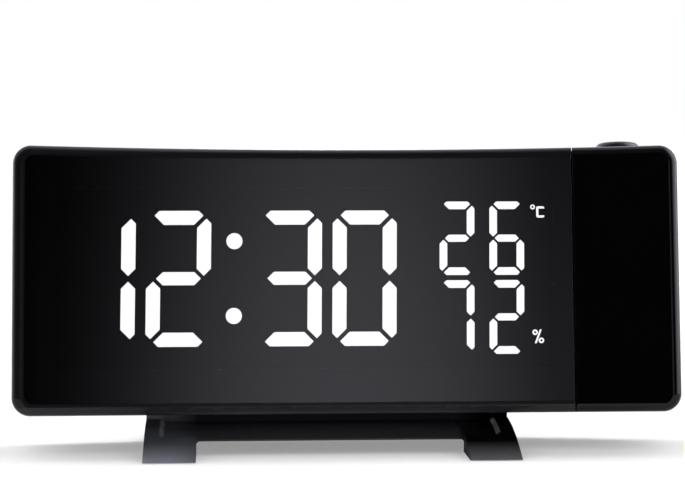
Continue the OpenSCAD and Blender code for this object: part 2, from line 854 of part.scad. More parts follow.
// The humped top of the feet is an arc through the toe and the end of the ramp, in (y, z)
ramp_end_y = front_y + ramp_back;
chord = [ramp_back + toe_reach, ramp_h - toe_edge];
ramp_centre = [toe_y, toe_edge] + chord / 2
    + sqrt(pow(ramp_r, 2) - pow(norm(chord) / 2, 2)) / norm(chord) * [chord[1], -chord[0]];
seat_back_y = front_y + (sag + body_t - back_fillet - 2) * cos(lean);
plate_back_y = seat_back_y + 2;

// Height of the body's bottom plane over the table at depth y
function bottom_z(y) = floor_gap - (y - front_y) * tan(lean);
// Angle of depth y on the ramp's arc, from upright
function ramp_a(y) = asin((y - ramp_centre[0]) / ramp_r);

// Extrudes a (y, z) outline along x from x0 to x1
module along_x(x0, x1) {
    translate([x0, 0, 0]) rotate([90, 0, 90]) linear_extrude(x1 - x0) children();
}

// Extrudes an (x, z) outline along y from y0 to y1
module along_y(y0, y1) {
    translate([0, y1, 0]) rotate([90, 0, 0]) linear_extrude(y1 - y0) children();
}

// Side view of the stand from the toe over the seat to the heel
module stand_profile() {
    intersection() {
        translate([toe_y, pad_proud]) square([ramp_end_y + over - toe_y, body_h]);
        translate(ramp_centre) circle(ramp_r, $fn = 720);
    }
    polygon([[ramp_end_y, pad_proud], [heel_y, pad_proud], [heel_y, toe_edge + pad_proud],
        [seat_back_y, bottom_z(seat_back_y)], [ramp_end_y, bottom_z(ramp_end_y)]]);
}

// The open ground under the stand
module stand_arches() {
    inner_left = stand_left + foot_w;
    inner_right = stand_right - foot_w;
    // across, between the left and right feet
    along_y(toe_y - over, heel_y + over) {
        translate([inner_left, -over])
            square([inner_right - inner_left, arch_h + over - arch_r]);
        translate([inner_left + arch_r, -over])
            square([inner_right - inner_left - 2 * arch_r, arch_h + over]);
        for (x = [inner_left + arch_r, inner_right - arch_r])
            translate([x, arch_h - arch_r]) circle(arch_r);
    }
    for (y = [[toe_y - over, toe_y + foot_depth], [plate_back_y, heel_y + over]])
        translate([inner_left, y[0], -over])
            cube([inner_right - inner_left, y[1] - y[0], body_h]);
    // along, between the front and rear feet
    translate([stand_left - over, toe_y + foot_depth + arch_rib, -over])
        cube([stand_w + 2 * over, plate_back_y - toe_y - foot_depth - 2 * arch_rib,
            arch_h + over]);
}

// The sunken middle: a band swept along the ramp's arc, with sloped side walls
module sunken_middle() {
    a0 = ramp_a(toe_y + foot_depth - 0.3);
    a1 = ramp_a(ramp_end_y);
    left = stand_left + strip_w;
    right = stand_right - strip_w;
    translate([0, ramp_centre[0], ramp_centre[1]]) rotate([0, 90, 0]) rotate([0, 0, 180 - a1])
        rotate_extrude(angle = a1 - a0, $fn = 720)
        polygon([[ramp_r + over, left - over * side_slope / sink],
            [ramp_r - sink, left + side_slope], [ramp_r - sink, right - side_slope],
            [ramp_r + over, right + over * side_slope / sink]]);
}

module at_foot_pads() {
    for (u = foot_us, y = [toe_y, plate_back_y])
        translate([u + pad_inset, y + pad_inset, 0]) children();
}

// Room for one foot pad, play smaller all round
module pad_block(play) {
    depth = min(foot_depth, heel_y - plate_back_y) - 2 * pad_inset;
    translate([play, play, 0])
        cube([foot_w - 2 * pad_inset - 2 * play, depth - 2 * play, pad_proud + pad_depth]);
}

module stand() {
    color([0.1, 0.1, 0.11]) difference() {
        along_x(stand_left, stand_right) stand_profile();
        stand_arches();
        sunken_middle();
        at_foot_pads() pad_block(0);
        leaned() for (u = stand_screw_u) translate([u, stand_screw_w, -body_t]) {
            cylinder(d = screw_hole_d, h = body_t + over);
            cylinder(d = screw_head_d + 1, h = body_t - stand_screw_seat);
        }
    }
}

module foot_pads() {
    color([0.2, 0.2, 0.2]) at_foot_pads() pad_block(0.1);
}

module stand_screws() {
    color([0.55, 0.56, 0.58]) leaned() for (u = stand_screw_u)
        translate([u, stand_screw_w, -stand_screw_seat - screw_head_h]) rotate([-90, 0, 0])
        screw(screw_d - 0.3, screw_head_d, screw_head_h, stand_screw_seat + 5);
}

// ---------------------------------------------------------------- display module

module segment_reflector() {
    color([0.05, 0.05, 0.055]) leaned() difference() {
        along_w(face_w, reflector_t)
            translate([reflector_left, mid_v - reflector_half_h])
            square([reflector_right - reflector_left, 2 * reflector_half_h]);
        for (s = all_shapes) along_w(face_w - over, reflector_t + 2 * over) polygon(s);
        along_w(face_w - over, reflector_t + 2 * over) colon_outline();
        along_w(face_w - over, segment_t + over) unit_outlines();
    }
}

module time_segments() {
    color("white") figures(time_shapes(true));
}

module colon_dots() {
    color("white") leaned() along_w(face_w, segment_t) colon_outline();
}

module temperature_segments() {
    color("white") figures(climate_shapes(temperature_v, TEMPERATURE_LIT, true));
}

module humidity_segments() {
    color("white") figures(climate_shapes(humidity_v, HUMIDITY_LIT, true));
}

module unit_symbols() {
    color("white") leaned() along_w(face_w, segment_t) unit_outlines();
}

module dark_segments() {
    color([0.1, 0.1, 0.1]) figures(concat(time_shapes(false),
        climate_shapes(temperature_v, TEMPERATURE_LIT, false),
        climate_shapes(humidity_v, HUMIDITY_LIT, false)));
}

// One light chip behind each segment and colon dot
module led_chips() {
    chip = 1.2;
    color([0.95, 0.9, 0.6]) leaned()
        for (p = concat([for (s = all_shapes) mean(s)], colon_points))
            translate([p[0] - chip / 2, rear_face_w - chip / 2, p[1] - chip / 2])
            cube([chip, chip / 2, chip]);
}

module display_board() {
    color([0.05, 0.3, 0.15]) leaned() difference() {
        along_w(rear_face_w, board_t)
            translate([reflector_left, mid_v - reflector_half_h - board_margin_v])
            square([reflector_right - reflector_left,
                2 * (reflector_half_h + board_margin_v)]);
        for (u = board_boss_u, side = [-1, 1])
            rod_w(u, rear_face_w - over, mid_v + side * board_boss_v, small_hole_d,
                board_t + 2 * over);
        for (u = case_u, v = case_v) {
            rod_w(u, rear_face_w - over, v, case_boss_d + 3, board_t + 2 * over);
            along_w(rear_face_w - over, board_t + 2 * over)
                translate([u < 0 ? u - body_w : u, v < mid_v ? v - body_h : v])
                square([body_w, body_h]);
        }
    }
}

module display_board_screws() {
    color([0.55, 0.56, 0.58]) leaned() for (u = board_boss_u, side = [-1, 1])
        translate([u, rear_face_w + board_t + small_head_h, mid_v + side * board_boss_v])
        screw(small_screw_d - 0.2, small_head_d, small_head_h, board_t + 4.5);
}

// Pin header that joins the two boards
module board_connector() {
    pins = 8;
    pin_pitch = 2.54;
    color([0.08, 0.08, 0.08]) leaned()
        translate([-10 * u_fit, rear_face_w + board_t, mid_v - reflector_half_h - 2])
        cube([pins * pin_pitch, board_gap, 2.6]);
}

// ---------------------------------------------------------------- main board

module main_board() {
    color([0.05, 0.35, 0.18]) leaned() difference() {
        along_w(main_w, board_t) translate([main_left, main_low])
            square([main_right - main_left, main_high - main_low]);
        main_bosses(small_hole_d, main_w - over, main_back_w + over);
        translate([usb_u - usb_w / 2 - touch_gap, main_w - over, usb_v - usb_h / 2 - touch_gap])
            cube([usb_w + 2 * touch_gap, board_t + 2 * over, usb_h + 2 * touch_gap]);
    }
}

module main_board_screws() {
    color([0.55, 0.56, 0.58]) leaned()
        for (u = [main_left + main_boss_inset, main_right - main_boss_inset],
            v = [main_low + main_boss_inset, main_high - main_boss_inset])
            translate([u, main_w - small_head_h, v]) mirror([0, 1, 0])
            screw(small_screw_d - 0.2, small_head_d, small_head_h, board_t + 2.6);
}

module control_chips() {
    color([0.06, 0.06, 0.07]) leaned() {
        translate([-2 * u_fit, main_w - 1.4, 40 * v_fit]) cube([12, 1.4, 12]);
        translate([-30 * u_fit, main_w - 1.4, 46 * v_fit]) cube([8, 1.4, 5]);
        translate([-52 * u_fit, main_w - 1.4, 44 * v_fit]) cube([5, 1.4, 4]);
        translate([12 * u_fit, main_w - 2.2, 20 * v_fit]) cube([3.2, 2.2, 8]);
    }
}

// Rear switches behind the five buttons and one upright switch under the snooze bar
module tact_switches() {
    color([0.15, 0.15, 0.16]) leaned() {
        for (u = button_u) translate([u, main_back_w, rear_v]) {
            translate([-switch_w / 2, 0, -switch_w / 2]) cube([switch_w, switch_h, switch_w]);
            translate([0, switch_h / 2, 0]) rod_y(plunger_d, switch_h / 2 + plunger_h);
        }
        translate([-switch_w / 2, main_back_w, snooze_switch_v - switch_w])
            cube([switch_w, switch_h, switch_w]);
        translate([0, main_back_w + switch_h / 2, snooze_switch_v - over])
            cylinder(d = 2.4, h = plunger_h + over);
    }
}

module power_inlet() {
    outer_w = w_at(back_r, inlet_u) - 0.3;
    color([0.09, 0.09, 0.1]) leaned() {
        difference() {
            rod_w(inlet_u, main_back_w, inlet_v, inlet_d, outer_w - main_back_w);
            rod_w(inlet_u, main_back_w + 1, inlet_v, inlet_bore, outer_w - main_back_w);
        }
        rod_w(inlet_u, main_back_w + 0.5, inlet_v, inlet_pin_d, outer_w - main_back_w - 1.5);
    }
}

usb_out_w = w_at(back_r, usb_u - usb_w / 2) - 0.2;

module usb_socket() {
    color([0.75, 0.76, 0.78]) leaned() difference() {
        translate([usb_u - usb_w / 2, usb_out_w - usb_depth, usb_v - usb_h / 2])
            cube([usb_w, usb_depth, usb_h]);
        translate([usb_u - usb_w / 2 + usb_wall, usb_out_w - usb_depth + 1,
            usb_v - usb_h / 2 + usb_wall])
            cube([usb_w - 2 * usb_wall, usb_depth, usb_h - 2 * usb_wall]);
    }
}

module usb_tongue() {
    color([0.95, 0.95, 0.95]) leaned()
        translate([usb_u - 5.6, usb_out_w - usb_depth + 1, usb_v - 0.2])
        cube([11.2, usb_depth - 2, 1.8]);
}

module cell_holder() {
    base_w = main_back_w;
    color([0.1, 0.1, 0.1]) leaned() difference() {
        intersection() {
            rod_w(cap_u, base_w, cap_v, cell_d + 2 * holder_wall + 0.6, body_t);
            on_arc(a_at(back_r, cap_u), cell_r - body_t, cap_v)
                translate([-body_t, 0, -body_t]) cube([2 * body_t, body_t - 0.6, 2 * body_t]);
        }
        on_arc(a_at(back_r, cap_u), cell_r - cell_t - 0.1, cap_v)
            rod_y(cell_d + 0.6, body_t);
    }
}

module backup_cell() {
    color([0.8, 0.8, 0.82]) leaned() on_arc(a_at(back_r, cap_u), cell_r - cell_t, cap_v)
        rod_y(cell_d, cell_t);
}

// Bayonet cap with a coin slot
module battery_cap() {
    color([0.12, 0.12, 0.13]) leaned() {
        difference() {
            on_arc(a_at(back_r, cap_u), 0, cap_v) union() {
                translate([0, back_r - cap_t, 0]) rod_y(cap_d, cap_t);
                translate([0, cap_plug_r, 0]) rod_y(cap_plug_d, back_r - cap_plug_r - 0.5);
            }
            on_arc(a_at(back_r, cap_u), back_r - 0.8, cap_v)
                translate([-6, 0, -1]) cube([12, 2, 2]);
            on_arc(a_at(back_r, cap_u), cap_plug_r - over, cap_v)
                rod_y(cap_plug_d - 3, back_r - cap_plug_r - 2);
        }
        difference() {
            cap_lugs(0, 0, cap_plug_r, cap_lug_t);
            on_arc(a_at(back_r, cap_u), cap_plug_r - over, cap_v)
                rod_y(cap_plug_d - 1, body_t);
        }
    }
}

module alarm_speaker() {
    color([0.16, 0.16, 0.17]) leaned()
        on_arc(a_at(back_r, speaker_u), speaker_r, speaker_v) difference() {
            rod_y(speaker_d, speaker_t);
            translate([0, speaker_t - 1, 0]) difference() {
                rod_y(speaker_d - 3, 2);
                translate([0, -over, 0]) rod_y(speaker_d / 3, 4);
            }
        }
}

module climate_sensor() {
    color([0.05, 0.35, 0.18]) leaned()
        on_arc(a_at(back_r, sensor_u), back_r - wall - sensor_gap, sensor_v) {
            translate([-sensor_w / 2, -1, -sensor_h / 2]) cube([sensor_w, 1, sensor_h]);
            translate([-1.5, -0.2, -1.5]) cube([3, 1.4, 3]);
        }
}

// ---------------------------------------------------------------- buttons

// Round button in the frame of its hole: y = 0 is the skin of the shell
module round_button(stem_low) {
    color([0.17, 0.17, 0.18]) {
        translate([0, -wall - flange_gap, 0])
            rod_y(button_d, wall + flange_gap + button_proud);
        translate([0, -wall - flange_gap - button_flange_t, 0])
            rod_y(button_flange_d, button_flange_t);
        translate([0, stem_low, 0])
            rod_y(button_stem_d, -stem_low - wall - flange_gap);
    }
}

module rear_button(u) {
    tilt = a_at(back_r, u);
    stem_low = (switch_top_w - w_at(back_r, u)) / cos(tilt) + button_travel + 0.3;
    on_back(u, rear_v) round_button(stem_low);
}

module set_button() {
    rear_button(button_u[4]);
}

module up_button() {
    rear_button(button_u[3]);
}

module down_button() {
    rear_button(button_u[2]);
}

module alarm_button() {
    rear_button(button_u[1]);
}

module mode_button() {
    rear_button(button_u[0]);
}

module snooze_bar() {
    stem_low = snooze_switch_v + plunger_h + snooze_travel + 0.1;
    lip_v = body_h - wall - flange_gap - snooze_lip_t;
    color([0.17, 0.17, 0.18]) leaned() {
        swept(a_at(snooze_r, -snooze_l / 2), a_at(snooze_r, snooze_l / 2))
            translate([snooze_r - snooze_w / 2, lip_v])
            square([snooze_w, body_h + snooze_proud - lip_v]);
        swept(a_at(snooze_r, -snooze_l / 2 - snooze_lip), a_at(snooze_r, snooze_l / 2 + snooze_lip))
            translate([snooze_r - snooze_w / 2 - snooze_lip, lip_v])
            square([snooze_w + 2 * snooze_lip, snooze_lip_t]);
        translate([-2, main_back_w + 0.4, stem_low]) cube([4, 2.4, lip_v - stem_low + 0.2]);
    }
}

// ---------------------------------------------------------------- leads

lead_sides = 8;
lead_up = [0.2, 0.3, 1];                     // no stretch of a lead runs along this

// Direction of a lead at its point i, halfway between the runs before and after it
function lead_way(p, i) =
    let (
        back = i > 0 ? p[i] - p[i - 1] : p[1] - p[0],
        on = i + 1 < len(p) ? p[i + 1] - p[i] : back,
        way = back / norm(back) + on / norm(on)
    )
    way / norm(way);

// Corners of a lead's cross-section at its point i
function lead_ring(p, i) =
    let (
        way = lead_way(p, i),
        side = cross(way, lead_up) / norm(cross(way, lead_up)),
        up = cross(side, way)
    )
    [for (k = [0:lead_sides - 1]) let (a = 360 * k / lead_sides)
        p[i] + lead_d / 2 * (cos(a) * side + sin(a) * up)];

// Lead along a list of points
module lead(p) {
    last = len(p) - 1;
    polyhedron(
        points = [for (i = [0:last]) each lead_ring(p, i)],
        faces = concat(
            [[for (k = [0:lead_sides - 1]) k]],
            [for (i = [0:last - 1], k = [0:lead_sides - 1])
                let (a = i * lead_sides + k, b = i * lead_sides + (k + 1) % lead_sides)
                each [[a, a + lead_sides, b], [a + lead_sides, b + lead_sides, b]]],
            [[for (k = [lead_sides - 1:-1:0]) last * lead_sides + k]]));
}

// Point of the head's frame in body-local coordinates
head_a = seam_a - seam_skew;
function seam_point(x, y, z) = [
    mid_r * sin(seam_a) + x * cos(head_a) + y * sin(head_a),
    mid_r * cos(seam_a) + axis_w - x * sin(head_a) + y * cos(head_a),
    head_mid_v + z];
lead_meet = -1.2;                            // the two leads meet inside the hub
connector_u = main_right - 6;
connector_v = head_mid_v - 1;

module body_lead() {
    color([0.5, 0.1, 0.1]) leaned() lead([
        seam_point(lead_meet - 0.1, 0, 0), seam_point(-5.5, 0, 0), seam_point(-7, 1, 0),
        [reflector_right + 1.8, main_w - 2.2, head_mid_v],
        [reflector_right - 7, main_w - 1.6, head_mid_v - 1],
        [connector_u + 4.1, main_w - 2, connector_v]]);
}

module lead_connector() {
    color([0.9, 0.88, 0.8]) leaned()
        translate([connector_u - 4, main_w - 4, connector_v - 3]) cube([8, 4, 6]);
}

module head_lead() {
    color([0.5, 0.1, 0.1]) at_seam() {
        lead([[lead_meet, 0, 0], [6, 0, 0], [9, 1, -2], [11, 4, -6],
            [12, head_board_y - 1.2, head_board_high - 3]]);
        lead([[21, head_board_y - 1.2, head_board_high - 3], [22, 4, 0], [20, 1, 4],
            [18, 0, lamp_low_z - lamp_board_t - 1.6], [18, 0, lamp_low_z - lamp_board_t - 0.1]]);
    }
}

// ---------------------------------------------------------------- projector head

module projector_front_shell() {
    color([0.03, 0.03, 0.035]) difference() {
        union() {
            leaned() difference() {
                head_block(0, front_r, head_part_r);
                head_block(wall, front_r + wall, head_part_r + over);
            }
            intersection() {
                at_seam() for (z = [barrel_top_z - 4, barrel_low_z + 1,
                    lamp_low_z - lamp_board_t - rib_t])
                    translate([lens_x - 7.5, -body_t / 2 + wall / 2, z])
                    cube([15, body_t / 2 - wall / 2 - 2, rib_t]);
                leaned() head_block(wall / 2, front_r + wall / 2, head_part_r);
            }
            at_seam() for (i = [0:2])
                translate([head_screw_x[i], -body_t / 2 + wall / 2, head_screw_v[i] - head_mid_v])
                rod_y(head_boss_d, head_part_r - front_r - wall / 2);
        }
        leaned() seam_edge(1, front_r);
        at_seam() {
            translate([lens_x, 0, barrel_low_z])
                cylinder(d = barrel_d + 0.1, h = barrel_top_z - barrel_low_z);
            translate([lens_x, 0, top_z - wall - over])
                cylinder(d = neck_d + 2 * running_fit, h = wall + 2 * over);
            translate([-over, 0, 0]) rod_x(hub_d + touching, wall + 2 * over);
            for (i = [0:2])
                translate([head_screw_x[i], head_part_r - mid_r - screw_depth,
                    head_screw_v[i] - head_mid_v])
                rod_y(screw_pilot_d, screw_depth + over);
        }
    }
}

module projector_rear_shell() {
    color([0.1, 0.1, 0.11]) difference() {
        union() {
            leaned() difference() {
                head_block(0, head_part_r, back_r);
                head_block(wall, head_part_r - over, back_r - wall);
            }
            intersection() {
                at_seam() {
                    translate([lens_x - 2, barrel_d / 2 + 0.1, barrel_low_z + 4])
                        cube([4, body_t / 2 - wall / 2 - barrel_d / 2 - 0.1, 6]);
                    for (x = head_board_x)
                        translate([x, head_board_y + board_t, head_board_low + 4])
                        rod_y(4, body_t / 2 - wall / 2 - head_board_y - board_t);
                }
                leaned() head_block(wall / 2, mid_r, back_r - wall / 2);
            }
            at_seam() for (i = [0:2])
                translate([head_screw_x[i], head_part_r - mid_r, head_screw_v[i] - head_mid_v])
                rod_y(6, back_r - head_part_r - wall);
        }
        at_seam() {
            for (i = [0:2])
                translate([head_screw_x[i], head_part_r - mid_r - over,
                    head_screw_v[i] - head_mid_v]) {
                    rod_y(screw_hole_d, body_t);
                    translate([0, over + 2.4, 0]) rod_y(screw_head_d + 0.6, body_t);
                }
            for (x = head_board_x)
                translate([x, head_board_y + board_t - over, head_board_low + 4])
                rod_y(small_pilot_d, 3.4);
        }
        leaned() on_arc(flip_a, back_r - wall - over, head_mid_v + flip_z)
            rod_y(button_hole_d, wall + 2 * over);
    }
}

module projector_screws() {
    color([0.55, 0.56, 0.58]) at_seam() {
        for (i = [0:2])
            translate([head_screw_x[i], head_part_r - mid_r + 2.4 + screw_head_h,
                head_screw_v[i] - head_mid_v])
            screw(screw_d - 0.3, screw_head_d, screw_head_h, 2.4 + 5.5);
        for (x = head_board_x)
            translate([x, head_board_y - small_head_h, head_board_low + 4]) mirror([0, 1, 0])
            screw(small_screw_d - 0.2, small_head_d, small_head_h, board_t + 2);
    }
}

hub_in_x = -seam_gap - wall - washer_t - 2 * clip_gap - hub_flange_t;
hub_out_x = wall + clip_t + clip_gap + 1.2;

module pivot_hub() {
    color([0.3, 0.3, 0.32]) at_seam() difference() {
        union() {
            translate([hub_in_x, 0, 0]) rod_x(hub_d, hub_out_x - hub_in_x);
            translate([hub_in_x, 0, 0]) rod_x(hub_flange_d, hub_flange_t);
        }
        translate([hub_in_x - over, 0, 0]) rod_x(hub_bore, hub_out_x - hub_in_x + 2 * over);
        translate([wall + clip_gap, 0, 0]) difference() {
            rod_x(hub_d + 2, clip_t);
            translate([-over, 0, 0]) rod_x(hub_d - 2 * hub_groove, clip_t + 2 * over);
        }
    }
}

// Open spring ring in x, with its gap downwards
module open_ring(outer_d, inner_d, t, gap) {
    difference() {
        rod_x(outer_d, t);
        translate([-over, 0, 0]) rod_x(inner_d, t + 2 * over);
        translate([-over, -gap / 2, -outer_d]) cube([t + 2 * over, gap, outer_d]);
    }
}

module hub_clip() {
    color([0.6, 0.6, 0.62]) at_seam() translate([wall + clip_gap, 0, 0])
        open_ring(hub_d + 3, hub_d - 2 * hub_groove + 2 * touching, clip_t - touching, 5);
}

module friction_washer() {
    color([0.7, 0.68, 0.6]) at_seam()
        translate([-seam_gap - wall - clip_gap - washer_t, 0, 0]) difference() {
            rod_x(hub_flange_d - 0.4, washer_t);
            translate([-over, 0, 0]) rod_x(hub_d + 2 * running_fit, washer_t + 2 * over);
        }
}

// Frame of the optical axis
module on_lens_axis() {
    at_seam() translate([lens_x, 0, 0]) children();
}

module focus_ring() {
    crown = 1.5;
    color([0.05, 0.05, 0.055]) on_lens_axis() difference() {
        union() {
            rotate_extrude() difference() {
                translate([0, top_z + ring_gap])
                    square([focus_ring_d / 2, focus_ring_h - ring_gap]);
                translate([focus_ring_d / 2, top_z + focus_ring_h]) rotate(180)
                    corner_waste(crown);
            }
            translate([0, 0, neck_low_z]) cylinder(d = neck_d, h = top_z + 1 - neck_low_z);
        }
        translate([0, 0, neck_low_z - over])
            cylinder(d = cell_tube_d + 2 * running_fit,
                h = top_z + focus_ring_h - 0.9 - neck_low_z + over);
        translate([0, 0, top_z]) cylinder(d = ring_aperture_d, h = 2 * focus_ring_h);
        translate([0, 0, ring_clip_z]) difference() {
            cylinder(d = neck_d + 2, h = 0.7);
            translate([0, 0, -over]) cylinder(d = neck_d - 1, h = 3);
        }
    }
}

module focus_ring_clip() {
    color([0.6, 0.6, 0.62]) on_lens_axis() translate([0, 0, ring_clip_z]) rotate([0, -90, 0])
        open_ring(neck_d + 2, neck_d - 1 + 2 * touching, 0.65, 4);
}

module lens_cell() {
    color([0.08, 0.08, 0.09]) on_lens_axis() difference() {
        translate([0, 0, cell_tube_low_z])
            cylinder(d = cell_tube_d, h = cell_tube_top_z - cell_tube_low_z);
        translate([0, 0, cell_tube_low_z - over])
            cylinder(d = lens_d - 0.8, h = cell_tube_top_z - cell_tube_low_z + 2 * over);
        translate([0, 0, cell_tube_top_z - 2.6]) cylinder(d = lens_d, h = 2.6 + over);
        translate([0, 0, cell_tube_low_z - over]) cylinder(d = lens_d, h = 2.6 + over);
    }
}

// Lens with two bulging faces, t thick at its rim, on the optical axis from height z
module bulging_lens(d, rim_t, bulge, z) {
    face_r = (pow(d / 2, 2) + pow(bulge, 2)) / (2 * bulge);
    translate([0, 0, z]) intersection() {
        cylinder(d = d, h = 3 * (rim_t + bulge), center = true);
        translate([0, 0, rim_t / 2 + bulge - face_r]) sphere(face_r, $fn = 96);
        translate([0, 0, face_r - rim_t / 2 - bulge]) sphere(face_r, $fn = 96);
    }
}

module objective_lens() {
    color([0.75, 0.85, 0.95]) on_lens_axis()
        bulging_lens(lens_d, 1.2, 0.5, cell_tube_top_z - 1.85);
}

module field_lens() {
    color([0.75, 0.85, 0.95]) on_lens_axis()
        bulging_lens(lens_d, 1.2, 0.5, cell_tube_low_z + 1.85);
}

module projector_barrel() {
    color([0.08, 0.08, 0.09]) on_lens_axis() difference() {
        translate([0, 0, barrel_low_z]) cylinder(d = barrel_d, h = barrel_top_z - barrel_low_z);
        translate([0, 0, barrel_low_z - over])
            cylinder(d = cell_tube_d + 2 * running_fit,
                h = barrel_top_z - barrel_low_z + 2 * over);
    }
}

module lcd_mask() {
    color([0.25, 0.3, 0.3]) on_lens_axis()
        translate([-6.5, -5.5, barrel_low_z - mask_t]) cube([13, 11, mask_t]);
}

module lamp_housing() {
    color([0.85, 0.85, 0.86]) on_lens_axis() difference() {
        translate([-lamp_tube_w / 2, -lamp_tube_w / 2, lamp_low_z])
            cube([lamp_tube_w, lamp_tube_w, lamp_tube_h]);
        translate([0, 0, lamp_low_z - over]) cylinder(d = 8, h = lamp_tube_h + 2 * over);
        translate([0, 0, lamp_low_z + lamp_tube_h - 4.4]) cylinder(d = 10.2, h = 4.4 + over);
    }
}

// Flat below, bulging above
module condenser_lens() {
    lens_r = 5;
    bulge = 2.2;
    face_r = (pow(lens_r, 2) + pow(bulge, 2)) / (2 * bulge);
    color([0.75, 0.85, 0.95]) on_lens_axis()
        translate([0, 0, lamp_low_z + lamp_tube_h - 4.4]) intersection() {
            cylinder(r = lens_r, h = 1.6 + bulge);
            translate([0, 0, 1.6 + bulge - face_r]) sphere(face_r, $fn = 96);
        }
}

module projector_lamp() {
    color([0.85, 0.1, 0.08]) on_lens_axis() translate([0, 0, lamp_low_z]) {
        cylinder(d = 5.6, h = 1);
        cylinder(d = 4.8, h = 3);
        translate([0, 0, 3]) sphere(d = 4.8);
    }
}

module lamp_board() {
    color([0.05, 0.35, 0.18]) on_lens_axis()
        translate([-lamp_tube_w / 2, -lamp_tube_w / 2, lamp_low_z - lamp_board_t])
        cube([lamp_tube_w, lamp_tube_w, lamp_board_t]);
}

module projector_board() {
    color([0.05, 0.35, 0.18]) at_seam() {
        difference() {
            translate([head_board_x[0] - 3, head_board_y, head_board_low])
                cube([head_board_x[1] - head_board_x[0] + 6, board_t,
                    head_board_high - head_board_low]);
            for (x = head_board_x)
                translate([x, head_board_y - over, head_board_low + 4])
                rod_y(small_hole_d, board_t + 2 * over);
        }
        translate([flip_x - 2.25, head_board_y + board_t - 0.1, flip_z - 2.25])
            cube([4.5, 1.1, 4.5]);
    }
}

module flip_button() {
    leaned() on_arc(flip_a, back_r, head_mid_v + flip_z)
        round_button(norm(flip_reach) + button_travel + 0.2 - back_r);
}

front_frame();
display_window();
rear_cover();
case_screws();
stand();
foot_pads();
stand_screws();
segment_reflector();
time_segments();
colon_dots();
temperature_segments();
humidity_segments();
unit_symbols();
dark_segments();
led_chips();
display_board();
display_board_screws();
board_connector();
main_board();
main_board_screws();
control_chips();
tact_switches();
power_inlet();
usb_socket();
usb_tongue();
cell_holder();
backup_cell();
battery_cap();
alarm_speaker();
climate_sensor();
snooze_bar();
set_button();
up_button();
down_button();
alarm_button();
mode_button();
body_lead();
lead_connector();
projector_front_shell();
projector_rear_shell();
projector_screws();
pivot_hub();
hub_clip();
friction_washer();
focus_ring();
focus_ring_clip();
lens_cell();
objective_lens();
field_lens();
projector_barrel();
lcd_mask();
lamp_housing();
condenser_lens();
projector_lamp();
lamp_board();
projector_board();
flip_button();
head_lead();
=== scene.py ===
import json
import math

import bpy
from bpy.props import FloatProperty, FloatVectorProperty, PointerProperty
from mathutils import Euler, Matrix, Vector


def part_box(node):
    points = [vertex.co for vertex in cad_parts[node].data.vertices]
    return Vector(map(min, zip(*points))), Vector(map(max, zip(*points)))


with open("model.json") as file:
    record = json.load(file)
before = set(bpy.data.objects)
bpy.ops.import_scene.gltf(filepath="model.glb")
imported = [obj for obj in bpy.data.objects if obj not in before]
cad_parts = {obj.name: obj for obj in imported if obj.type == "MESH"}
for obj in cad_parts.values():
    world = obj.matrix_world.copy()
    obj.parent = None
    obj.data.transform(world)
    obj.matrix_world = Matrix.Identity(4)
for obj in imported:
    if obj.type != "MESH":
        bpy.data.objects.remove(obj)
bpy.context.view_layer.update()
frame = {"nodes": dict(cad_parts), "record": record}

bl_info = {
    "name": "Projection alarm clock",
    "version": (1, 0, 0),
    "blender": (4, 5, 0),
    "location": "View3D > Sidebar > Clock",
    "description": "Finishes, lit display and studio for a curved projection alarm clock",
    "category": "Object",
}

JOINTS = {joint["name"]: joint for joint in frame["record"]["behaviour"]["joints"]}


# ---------------------------------------------------------------- shader maths

class Channel:
    """One output socket of a finish. Sums and products with it add their Math nodes."""

    def __init__(self, mix, socket):
        self.mix, self.socket = mix, socket

    def math(self, operation, *values):
        return self.mix.node("ShaderNodeMath", {"operation": operation}, dict(enumerate(values)))

    def __add__(self, other):
        return self.math("ADD", self, other)

    __radd__ = __add__

    def __sub__(self, other):
        return self.math("SUBTRACT", self, other)

    def __rsub__(self, other):
        return self.math("SUBTRACT", other, self)

    def __mul__(self, other):
        return self.math("MULTIPLY", self, other)

    __rmul__ = __mul__

    def __truediv__(self, other):
        return self.math("DIVIDE", self, other)

    def __pow__(self, other):
        return self.math("POWER", self, other)

    def __abs__(self):
        return self.math("ABSOLUTE", self)

    def above(self, level):
        return self.math("GREATER_THAN", self, level)

    def below(self, level):
        return self.math("LESS_THAN", self, level)

    def clamped(self):
        return self.mix.node("ShaderNodeClamp", {}, {"Value": self})


